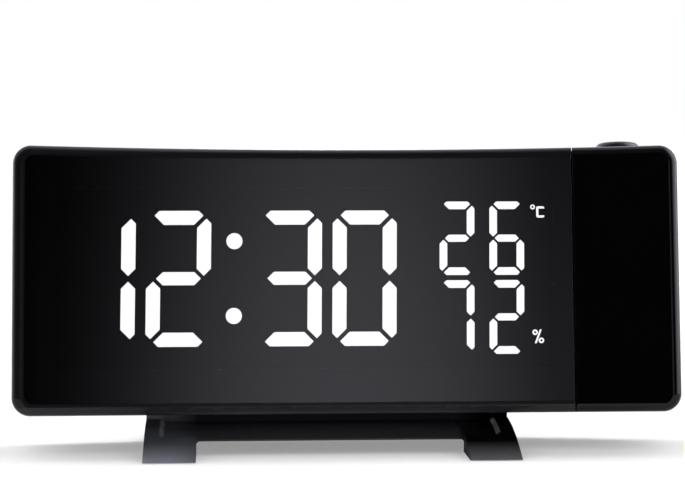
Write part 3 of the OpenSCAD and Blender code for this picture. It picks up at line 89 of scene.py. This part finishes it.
class Mix:
    """The nodes of one material, or of the world."""

    def __init__(self, owner):
        owner.use_nodes = True
        self.owner, self.tree = owner, owner.node_tree
        self.tree.nodes.clear()

    def node(self, kind, settings=None, sockets=None, output=0):
        made = self.tree.nodes.new(kind)
        for name, value in (settings or {}).items():
            if name == "stops":
                ramp = made.color_ramp
                while len(ramp.elements) < len(value):
                    ramp.elements.new(0.5)
                for element, (position, level) in zip(ramp.elements, value):
                    element.position, element.color = position, (level, level, level, 1)
            else:
                setattr(made, name, value)
        for name, value in (sockets or {}).items():
            if isinstance(value, Channel):
                self.tree.links.new(value.socket, made.inputs[name])
            else:
                made.inputs[name].default_value = value
        return Channel(self, made.outputs[output]) if made.outputs else None

    def place(self):
        return self.node("ShaderNodeTexCoord", {}, {}, "Object")

    def split(self, vector):
        """The three parts of a vector."""
        parts = self.tree.nodes.new("ShaderNodeSeparateXYZ")
        self.tree.links.new(vector.socket, parts.inputs[0])
        return [Channel(self, part) for part in parts.outputs]

    def along(self, axis):
        """Distance of a point along the axis."""
        return self.node("ShaderNodeVectorMath", {"operation": "DOT_PRODUCT"},
                         {0: self.place(), 1: axis}, "Value")

    def noise(self, size, detail=2.0, roughness=0.5, vector=None):
        """Smooth noise from 0 to 1 whose blotches are size metres across."""
        return self.node("ShaderNodeTexNoise", {}, {
            "Vector": vector or self.place(), "Scale": 1 / size,
            "Detail": detail, "Roughness": roughness}, "Fac")

    def blend(self, factor, low, high):
        """A colour between low and high."""
        return self.node("ShaderNodeMix", {"data_type": "RGBA"},
                         {0: factor, 6: rgba(low), 7: rgba(high)}, 2)

    def bump(self, height, depth, strength=1.0):
        return self.node("ShaderNodeBump", {}, {
            "Height": height, "Distance": depth, "Strength": strength})

    def finish(self, shader):
        self.node("ShaderNodeOutputMaterial", {}, {"Surface": shader})
        return self.owner


def rgba(colour):
    if isinstance(colour, Channel):
        return colour
    return (*tuple(colour)[:3], 1.0)


def new_finish(name):
    return Mix(bpy.data.materials.new(name))


def ramp_up(value, start, length):
    """0 up to start, 1 from start + length on."""
    return ((value - start) / length).clamped()


def ramp_down(value, end, length):
    """1 up to end - length, 0 from end on."""
    return ((end - value) / length).clamped()


def band(angle, low, high, soft):
    """1 between two angles in degrees, with soft edges."""
    return ((angle - low) / soft + 0.5).clamped() * ((high - angle) / soft + 0.5).clamped()


# ---------------------------------------------------------------- the finishes

def seam_faces(mix):
    """1 on the two flat faces that meet at the head's seam, which the mould leaves matt."""
    seam = JOINTS["head_turn"]
    half_gap, tolerance = 0.00015, 0.00003
    middle = sum(a * b for a, b in zip(seam["pos_m"], seam["axis"])) - half_gap
    return abs(mix.along(seam["axis"]) - middle).below(half_gap + tolerance)


def lower_edge(mix, node, height):
    """1 on the lowest part of a piece of the leaning body, up to the given height."""
    up = JOINTS["lens_slide"]["axis"]
    heights = (sum(a * b for a, b in zip(vertex.co, up)) for vertex in frame["nodes"][node].data.vertices)
    return ramp_down(mix.along(up), min(heights) + height, 0.0005)


def gloss_plastic(name, colour, roughness, smear=0.03, specular=0.5, painted_edge_light=None):
    """Polished moulding: nearly flat, with the faint unevenness of handling in its gloss."""
    mix = new_finish(name)
    handling = mix.noise(0.018, 3.0)
    dust = mix.noise(0.0009, 1.0)
    polish = roughness + smear * handling + 0.01 * dust
    tone = mix.blend(handling, colour, [c * 1.25 for c in colour[:3]])
    # Painted light: the lowest 2.7 mm of the front's rounding takes a lighter colour, lighter still in two steps
    # over the stand, in place of the light this downward rounding reflects.
    if painted_edge_light is not None:
        x, y, z = mix.split(mix.place())
        low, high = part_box("stand")
        over_stand = ramp_up(x, low[0], 0.030) * ramp_down(x, high[0], 0.020)
        tone = mix.blend(lower_edge(mix, "front_frame", 0.0027), tone, painted_edge_light)
        for height, lift in ((0.0019, 2.2), (0.0010, 5.0)):
            painted_paler_edge = [c * lift for c in painted_edge_light[:3]]
            tone = mix.blend(over_stand * lower_edge(mix, "front_frame", height), tone, painted_paler_edge)
    return mix.finish(mix.node("ShaderNodeBsdfPrincipled", {}, {
        "Base Color": tone,
        "Roughness": polish + seam_faces(mix) * (0.65 - polish),
        "IOR": 1.5,
        "Specular IOR Level": specular}))


def grained_plastic(name, colour, roughness, grain=0.00025, depth=0.00001, specular=0.5):
    """Spark-eroded moulding: a fine even grain that breaks up the gloss."""
    mix = new_finish(name)
    pits = mix.noise(grain, 2.0, 0.6)
    cloud = mix.noise(0.012, 2.0)
    return mix.finish(mix.node("ShaderNodeBsdfPrincipled", {}, {
        "Base Color": mix.blend(cloud, colour, [c * 1.3 for c in colour[:3]]),
        "Roughness": roughness + 0.10 * pits - 0.05,
        "IOR": 1.5,
        "Specular IOR Level": specular,
        "Normal": mix.bump(pits, depth)}))


def stand_plastic(name, left, right, middle, roughness):
    """Satin moulding with painted light and shade in its colour: painted light at the toes, the left toe painted
    lighter than the right, painted light where it runs in under the body, painted highlights on the side walls of
    the sunken seat, painted shade between the feet and near-black painted shade behind the back wall.
    """
    mix = new_finish(name)
    low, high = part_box("stand")
    x, y, z = mix.split(mix.place())
    pits = mix.noise(0.0004, 2.0, 0.6)
    cloud = mix.noise(0.006, 3.0)
    inset = x.math("MINIMUM", x - low[0], high[0] - x)
    depth = y - low[1]

    toe_length, foot_width, back_wall = 0.0109, 0.0148, 0.0336
    # Painted light: the toes get a lighter colour towards their front edge, over 10.9 mm; taper makes it weaker
    # towards the middle of the stand.
    toe = ramp_down(depth, toe_length, toe_length) ** 1.2 * (0.85 + 0.3 * cloud)
    right_foot = ramp_up(x, high[0] - 0.017, 0.002)
    taper = ramp_up(inset, 0.008, 0.0065)
    # Painted light: lighter towards the back, where the stand runs in under the body and is shaded by it.
    under = ramp_up(depth, 0.024, 0.0048) ** 2.0
    seat = ramp_up(inset, 0.0052, 0.0006) * ramp_up(depth, 0.0150, 0.0012)
    between = ramp_up(inset, foot_width, 0.0010)
    # Painted highlight: light stripes on the side walls of the sunken seat.
    seat_wall_highlight_mask = (ramp_up(inset, 0.0042, 0.0001) * ramp_down(inset, 0.0056, 0.0001)
                 * ramp_up(depth, 0.0165, 0.0010) * ramp_down(depth, 0.0330, 0.0010))
    # Mask for the painted shade behind the back wall.
    behind = ramp_up(depth, back_wall, 0.0004)
    deep = ramp_up(depth, 0.0330, 0.0005) * ramp_up(inset, 0.0050, 0.0005)

    # Left foot: painted light at the toe and under the body. Right foot: a darker painted tone with weaker painted
    # light at its toe, so the left toe reads as lit more than the right.
    left_foot_painted_tone = mix.blend(toe * (1.0 - 0.45 * taper), (0.022, 0.0235, 0.0275), left)
    left_foot_painted_tone = mix.blend(under, left_foot_painted_tone, (0.105, 0.107, 0.118))
    right_foot_painted_tone = mix.blend(toe, (0.0018, 0.0018, 0.0021), right)
    # Painted shade: the middle colour darkens the seat and the part between the feet, lightening a little towards
    # the back under the body, which is painted light too.
    dark = mix.blend(under, middle, (0.020, 0.020, 0.023))
    # Colour of the painted highlight on the seat's side walls.
    wall_painted_highlight = mix.blend(under, (0.065, 0.067, 0.073), (0.24, 0.245, 0.26))
    tone = mix.blend(right_foot, left_foot_painted_tone, right_foot_painted_tone)
    tone = mix.blend((seat * taper * 0.8 + between).clamped(), tone, dark)
    tone = mix.blend(seat_wall_highlight_mask, tone, wall_painted_highlight)
    # Painted shade: near black behind the back wall of the seat, under the body.
    tone = mix.blend(behind * 0.85, tone, (0.004, 0.004, 0.005))

    same = {"Base Color": tone, "IOR": 1.5, "Normal": mix.bump(pits, 0.000006)}
    shiny = mix.node("ShaderNodeBsdfPrincipled", {}, {
        **same, "Roughness": roughness + 0.08 * pits, "Specular IOR Level": 0.5})
    matt = mix.node("ShaderNodeBsdfPrincipled", {}, {
        **same, "Roughness": 0.8 + 0.1 * pits, "Specular IOR Level": 0.0})
    return mix.finish(mix.node("ShaderNodeMixShader", {}, {0: (right_foot + deep).clamped(), 1: shiny, 2: matt}))


def smoked_acrylic(name, tint, haze):
    """The window: dark see-through acrylic under a hard coat with a soft sheen."""
    mix = new_finish(name)
    ripple = mix.noise(0.03, 1.0)
    return mix.finish(mix.node("ShaderNodeBsdfPrincipled", {}, {
        "Base Color": mix.blend(ripple, tint, [c * 1.03 for c in tint[:3]]),
        "Roughness": 0.0,
        "IOR": 1.001,
        "Specular IOR Level": 0.0,
        "Transmission Weight": 1.0,
        "Coat Weight": 1.0,
        "Coat Roughness": haze,
        "Coat IOR": 1.5}))


def lit_diffuser(name, colour, strength):
    """White moulded diffuser with the light behind it: its brightness varies a little in soft blotches."""
    mix = new_finish(name)
    cloud = mix.noise(0.004, 1.0)
    return mix.finish(mix.node("ShaderNodeBsdfPrincipled", {}, {
        "Base Color": (0.8, 0.8, 0.8, 1.0),
        "Roughness": 0.5,
        "Emission Color": mix.blend(cloud, [c * 0.97 for c in colour[:3]], colour),
        "Emission Strength": strength}))


def board_laminate(name, mask, copper, resist):
    """Circuit board: solder resist over copper tracks, with rows of tinned pads."""
    mix = new_finish(name)
    place = mix.place()
    cells = mix.node("ShaderNodeTexVoronoi", {"distance": "CHEBYCHEV"},
                     {"Vector": place, "Scale": 1 / 0.004, "Randomness": 0.8}, "Distance")
    tracks = mix.node("ShaderNodeTexWave", {"wave_type": "BANDS", "bands_direction": "X"}, {
        "Vector": place, "Scale": 1 / 0.012, "Distortion": 6.0, "Detail": 0.0}, "Fac").above(0.72)
    pads = (0.12 - cells).above(0.0)
    tone = mix.blend(tracks, mask, copper)
    return mix.finish(mix.node("ShaderNodeBsdfPrincipled", {}, {
        "Base Color": mix.blend(pads, tone, resist),
        "Metallic": pads * 0.9,
        "Roughness": 0.35 + 0.1 * tracks,
        "IOR": 1.5,
        "Normal": mix.bump(tracks + pads, 0.00004)}))


def plated_steel(name, colour, roughness, brushing=0.0004):
    """Zinc or nickel plating, with fine turning marks and a little tarnish."""
    mix = new_finish(name)
    marks = mix.noise(brushing, 3.0)
    tarnish = mix.noise(0.003, 2.0)
    return mix.finish(mix.node("ShaderNodeBsdfPrincipled", {}, {
        "Base Color": mix.blend(tarnish, [c * 0.72 for c in colour[:3]], colour),
        "Metallic": 1.0,
        "Roughness": roughness + 0.15 * marks,
        "Normal": mix.bump(marks, 0.000008)}))


def pad_rubber(name, colour):
    """Soft rubber, matt with a fine open texture."""
    mix = new_finish(name)
    pores = mix.noise(0.0003, 4.0, 0.7)
    return mix.finish(mix.node("ShaderNodeBsdfPrincipled", {}, {
        "Base Color": mix.blend(pores, colour, [c * 1.8 for c in colour[:3]]),
        "Roughness": 0.75 + 0.2 * pores,
        "Specular IOR Level": 0.35,
        "Normal": mix.bump(pores, 0.00003)}))


def clear_glass(name, tint, roughness=0.0):
    """Lens or mask glass, with a bloomed surface."""
    mix = new_finish(name)
    bloom = mix.noise(0.005, 1.0)
    return mix.finish(mix.node("ShaderNodeBsdfPrincipled", {}, {
        "Base Color": mix.blend(bloom, tint, [min(1.0, c * 1.05) for c in tint[:3]]),
        "Roughness": roughness,
        "IOR": 1.49,
        "Transmission Weight": 1.0}))


def lamp_resin(name, colour, strength):
    """Coloured lamp body, lit from within."""
    mix = new_finish(name)
    core = mix.noise(0.002, 1.0)
    return mix.finish(mix.node("ShaderNodeBsdfPrincipled", {}, {
        "Base Color": rgba(colour),
        "Roughness": 0.2,
        "Emission Color": mix.blend(core, [c * 0.8 for c in colour[:3]], colour),
        "Emission Strength": strength}))


def dress(material, *nodes):
    """Gives the material to these moulded parts."""
    for name in nodes:
        slots = frame["nodes"][name].data.materials
        slots.clear()
        slots.append(material)


# ---------------------------------------------------------------- what a user may change

def colour_property(name, description, default):
    return FloatVectorProperty(name=name, description=description, default=default,
                               size=3, min=0, max=1, subtype="COLOR")


def share_property(name, description, default):
    return FloatProperty(name=name, description=description, default=default,
                         min=0, max=1, subtype="FACTOR")


def light_property(name, description, default):
    return FloatProperty(name=name, description=description, default=default, min=0, max=20)


class ClockCaseFinish(bpy.types.PropertyGroup):
    front_colour: colour_property("Front", "Colour of the gloss front moulding", (0.0028, 0.0028, 0.0032))
    # Painted light on the front's lower rounding.
    lower_edge_painted_light: colour_property("Lower edge", "Colour of the front's lower rounding",
                                      (0.016, 0.016, 0.019))
    front_roughness: share_property("Front roughness", "0 is a mirror", 0.22)
    front_specular: share_property("Front reflection", "0.5 is ordinary plastic", 0.2)
    head_colour: colour_property("Head", "Colour of the projector head", (0.0010, 0.0010, 0.0011))
    head_roughness: share_property("Head roughness", "0 is a mirror", 0.03)
    back_colour: colour_property("Back", "Colour of the grained back cover", (0.011, 0.011, 0.012))
    # Stand toes: painted light, the left toe lighter than the right.
    left_toe_painted_light: colour_property("Left toe", "Colour of the left toe of the stand", (0.155, 0.163, 0.196))
    right_toe_painted_light: colour_property("Right toe", "Colour of the right toe of the stand", (0.094, 0.090, 0.096))
    # Painted shade between and behind the feet.
    stand_painted_shade: colour_property("Stand's middle", "Colour between and behind the feet",
                                   (0.005, 0.005, 0.006))
    stand_roughness: share_property("Stand roughness", "0 is a mirror", 0.42)


class ClockDisplayFinish(bpy.types.PropertyGroup):
    window_tint: colour_property("Window tint", "What the smoked window lets through", (0.30, 0.30, 0.31))
    window_haze: share_property("Window haze", "Softness of what the window reflects", 0.05)
    digit_colour: colour_property("Digit colour", "Colour of the lit figures", (1.0, 0.975, 0.97))
    digit_strength: light_property("Digit strength", "Brightness behind the window", 3.6)


class ClockStudio(bpy.types.PropertyGroup):
    camera_place: FloatVectorProperty(name="Camera place", description="Where the camera stands", size=3,
                                      default=(-0.03713, -0.61875, 0.0936), subtype="TRANSLATION", unit="LENGTH")
    camera_turn: FloatProperty(name="Camera turn", description="Turn of the view to the right",
                               default=math.radians(3.317), subtype="ANGLE", unit="ROTATION")
    camera_tilt: FloatProperty(name="Camera tilt", description="Tilt of the view, down below zero",
                               default=math.radians(-2.793), subtype="ANGLE", unit="ROTATION")
    focal_length: FloatProperty(name="Focal length", description="Lens, in millimetres", default=107.27,
                                min=10, max=300)
    room_light: light_property("Room light", "Level of the even light", 1.0)
    panel_glow: light_property("Front softbox", "Brightness of the softbox the window shows", 0.9)
    side_box: light_property("Side softbox", "Brightness at the right-hand edge", 4.0)
    left_box: light_property("Left box", "Brightness of the narrow box behind on the left", 2.2)
    top_box: light_property("Top softbox", "Brightness above the clock", 1.3)


# ---------------------------------------------------------------- operators

class ClockOperator:
    bl_options = {"REGISTER", "UNDO"}


class CLOCK_OT_front(ClockOperator, bpy.types.Operator):
    """Polish the front moulding"""
    bl_idname, bl_label = "clock.front", "Front frame"

    def execute(self, context):
        look = context.scene.clock_case
        dress(gloss_plastic("front_gloss_painted_edge", look.front_colour, look.front_roughness, 0.04, look.front_specular,
                            look.lower_edge_painted_light),
              "front_frame")
        return {"FINISHED"}


class CLOCK_OT_window(ClockOperator, bpy.types.Operator):
    """Give the window its smoked acrylic"""
    bl_idname, bl_label = "clock.window", "Display window"

    def execute(self, context):
        look = context.scene.clock_display
        dress(smoked_acrylic("smoked_window", look.window_tint, look.window_haze), "display_window")
        return {"FINISHED"}


class CLOCK_OT_display(ClockOperator, bpy.types.Operator):
    """Light the figures in their reflector block"""
    bl_idname, bl_label = "clock.display", "Lit display"

    def execute(self, context):
        look = context.scene.clock_display
        dress(lit_diffuser("lit_segment", look.digit_colour, look.digit_strength), "time_segments",
              "colon_dots", "temperature_segments", "humidity_segments", "unit_symbols")
        dress(grained_plastic("reflector_black", (0.0012, 0.0012, 0.0012), 0.9, specular=0.1), "segment_reflector")
        dress(grained_plastic("dark_segment", (0.0016, 0.0016, 0.0016), 0.9, specular=0.1), "dark_segments")
        dress(lamp_resin("chip_phosphor", (0.85, 0.62, 0.12), 0.4), "led_chips")
        return {"FINISHED"}


class CLOCK_OT_head(ClockOperator, bpy.types.Operator):
    """Polish the turning projector head and its focusing ring"""
    bl_idname, bl_label = "clock.head", "Projector head"

    def execute(self, context):
        look = context.scene.clock_case
        dress(gloss_plastic("head_gloss", look.head_colour, look.head_roughness, 0.02, 0.22),
              "projector_front_shell", "projector_rear_shell")
        dress(grained_plastic("ring_satin", (0.006, 0.006, 0.006), 0.35), "focus_ring")
        dress(clear_glass("lens_glass", (0.98, 0.98, 0.98)), "objective_lens", "field_lens", "condenser_lens")
        dress(grained_plastic("optics_black", (0.004, 0.004, 0.004), 0.6), "lens_cell", "projector_barrel",
              "pivot_hub")
        dress(clear_glass("mask_glass", (0.25, 0.12, 0.12)), "lcd_mask")
        dress(lamp_resin("red_lamp", (1.0, 0.04, 0.05), 6.0), "projector_lamp")
        dress(grained_plastic("lamp_white", (0.75, 0.74, 0.70), 0.5), "lamp_housing")
        return {"FINISHED"}


class CLOCK_OT_stand(ClockOperator, bpy.types.Operator):
    """Finish the stand and its rubber pads"""
    bl_idname, bl_label = "clock.stand", "Stand"

    def execute(self, context):
        look = context.scene.clock_case
        dress(stand_plastic("stand_satin_painted_light", look.left_toe_painted_light, look.right_toe_painted_light, look.stand_painted_shade,
                            look.stand_roughness), "stand")
        dress(pad_rubber("foot_rubber", (0.02, 0.02, 0.021)), "foot_pads")
        return {"FINISHED"}


class CLOCK_OT_back(ClockOperator, bpy.types.Operator):
    """Finish the back cover, its buttons, sockets and screws"""
    bl_idname, bl_label = "clock.back", "Back and controls"

    def execute(self, context):
        look = context.scene.clock_case
        dress(grained_plastic("back_grain", look.back_colour, 0.5, 0.0005, 0.00002), "rear_cover", "battery_cap")
        dress(grained_plastic("button_satin", (0.016, 0.016, 0.017), 0.4), "snooze_bar", "set_button",
              "up_button", "down_button", "alarm_button", "mode_button", "flip_button")
        dress(plated_steel("socket_nickel", (0.62, 0.61, 0.58), 0.2), "usb_socket", "backup_cell")
        dress(grained_plastic("socket_black", (0.008, 0.008, 0.008), 0.5), "power_inlet")
        dress(grained_plastic("tongue_white", (0.7, 0.7, 0.68), 0.4), "usb_tongue")
        dress(plated_steel("screw_zinc", (0.42, 0.42, 0.43), 0.3), "case_screws", "stand_screws",
              "display_board_screws", "main_board_screws", "projector_screws", "hub_clip", "focus_ring_clip")
        return {"FINISHED"}


class CLOCK_OT_inside(ClockOperator, bpy.types.Operator):
    """Finish the boards and what they carry"""
    bl_idname, bl_label = "clock.inside", "Boards and inner parts"

    def execute(self, context):
        dress(board_laminate("board_green", (0.012, 0.085, 0.035), (0.03, 0.15, 0.06), (0.6, 0.58, 0.52)),
              "display_board", "main_board", "lamp_board", "projector_board", "climate_sensor")
        dress(grained_plastic("chip_black", (0.012, 0.012, 0.012), 0.45), "control_chips", "tact_switches",
              "board_connector", "cell_holder", "alarm_speaker")
        dress(grained_plastic("nylon_white", (0.72, 0.71, 0.67), 0.45), "lead_connector", "friction_washer")
        dress(grained_plastic("lead_grey", (0.22, 0.22, 0.24), 0.5), "body_lead", "head_lead")
        return {"FINISHED"}


class CLOCK_OT_studio(ClockOperator, bpy.types.Operator):
    """Set the floor, the light and the camera"""
    bl_idname, bl_label = "clock.studio", "Floor, light and camera"

    def execute(self, context):
        studio = context.scene.clock_studio
        self.lay_floor()
        self.light_room(context.scene, studio)
        self.place_camera(context.scene, studio)
        context.scene.view_settings.view_transform = "Standard"
        return {"FINISHED"}

    def lay_floor(self):
        bpy.ops.mesh.primitive_plane_add(size=40)
        floor = bpy.context.object
        floor.name = "studio_floor"
        mix = new_finish("white_floor")
        sheet = mix.node("ShaderNodeBsdfDiffuse", {}, {"Color": (0.72, 0.72, 0.72, 1.0)})
        glow = mix.node("ShaderNodeEmission", {}, {"Strength": 0.27})
        floor.data.materials.append(mix.finish(mix.node("ShaderNodeAddShader", {}, {0: sheet, 1: glow})))

    def light_room(self, scene, studio):
        world = bpy.data.worlds.new("studio_room")
        scene.world = world
        mix = Mix(world)
        x, y, z = mix.split(mix.node("ShaderNodeTexCoord", {}, {}, "Generated"))
        degrees = 180 / math.pi
        turn = x.math("ARCTAN2", x, 0.0 - y) * degrees
        rise = z.math("ARCSINE", z) * degrees
        arch = z.math("ARCTAN2", z, 0.0 - y) * degrees
        across, up = (turn - 3.5) / 10.8, (rise - 6.7) / 11.5
        spread = across * across + up * up
        left_edge = ((turn + 9.7) / 0.8 + 0.5).clamped()
        front = studio.panel_glow * x.math("EXPONENT", 0.0 - spread ** 1.25) * left_edge
        side = studio.side_box * band(turn, 52.0, 115.0, 26.0) * band(rise, -5.0, 60.0, 20.0)
        strip = studio.left_box * band(turn, -165.0, -108.0, 14.0) * band(rise, -6.0, 16.0, 8.0)
        canopy = studio.top_box * band(arch, 84.0, 176.0, 16.0)
        ceiling = 0.2 * band(arch, 28.0, 84.0, 16.0)
        shown = front + side + strip + canopy + ceiling
        rays = mix.tree.nodes.new("ShaderNodeLightPath")
        seen = Channel(mix, rays.outputs["Is Camera Ray"])
        gloss = (Channel(mix, rays.outputs["Is Glossy Ray"])
                 + Channel(mix, rays.outputs["Is Transmission Ray"])).clamped()
        room = studio.room_light * (0.30 + 1.6 * x * x + 6.0 * band(arch, 103.0, 115.0, 6.0))
        level = seen + (1.0 - seen) * (gloss * shown + (1.0 - gloss) * room)
        mix.node("ShaderNodeOutputWorld", {}, {"Surface": mix.node("ShaderNodeBackground", {}, {
            "Color": mix.blend(gloss, (1.0, 1.0, 1.0), (0.95, 0.96, 1.06)), "Strength": level})})
        world.cycles.sampling_method = "NONE"

    def place_camera(self, scene, studio):
        camera = bpy.data.objects.new("front_camera", bpy.data.cameras.new("front_camera"))
        scene.collection.objects.link(camera)
        camera.data.sensor_width = 36
        camera.data.lens = studio.focal_length
        camera.data.clip_start, camera.data.clip_end = 0.01, 100
        camera.location = studio.camera_place
        camera.rotation_mode = "XYZ"
        camera.rotation_euler = Euler((math.pi / 2 + studio.camera_tilt, 0, -studio.camera_turn))
        scene.camera = camera


OPERATORS = (CLOCK_OT_front, CLOCK_OT_window, CLOCK_OT_display, CLOCK_OT_head, CLOCK_OT_stand,
             CLOCK_OT_back, CLOCK_OT_inside, CLOCK_OT_studio)
GROUPS = {"clock_case": ClockCaseFinish, "clock_display": ClockDisplayFinish, "clock_studio": ClockStudio}


class VIEW3D_PT_clock(bpy.types.Panel):
    """The clock's colours, light, camera and steps"""
    bl_label = "Projection alarm clock"
    bl_space_type, bl_region_type, bl_category = "VIEW_3D", "UI", "Clock"

    def draw(self, context):
        for attribute, group in GROUPS.items():
            box = self.layout.box()
            for name in group.__annotations__:
                box.prop(getattr(context.scene, attribute), name)
        for operator in OPERATORS:
            self.layout.operator(operator.bl_idname)


def register():
    for kind in (*GROUPS.values(), *OPERATORS, VIEW3D_PT_clock):
        bpy.utils.register_class(kind)
    for attribute, group in GROUPS.items():
        setattr(bpy.types.Scene, attribute, PointerProperty(type=group))


def unregister():
    for attribute in GROUPS:
        delattr(bpy.types.Scene, attribute)
    for kind in reversed((*GROUPS.values(), *OPERATORS, VIEW3D_PT_clock)):
        bpy.utils.unregister_class(kind)


def main():
    register()
    for operator in OPERATORS:
        group, step = operator.bl_idname.split(".")
        getattr(getattr(bpy.ops, group), step)()
    bpy.context.view_layer.update()


if __name__ == "__main__":
    main()
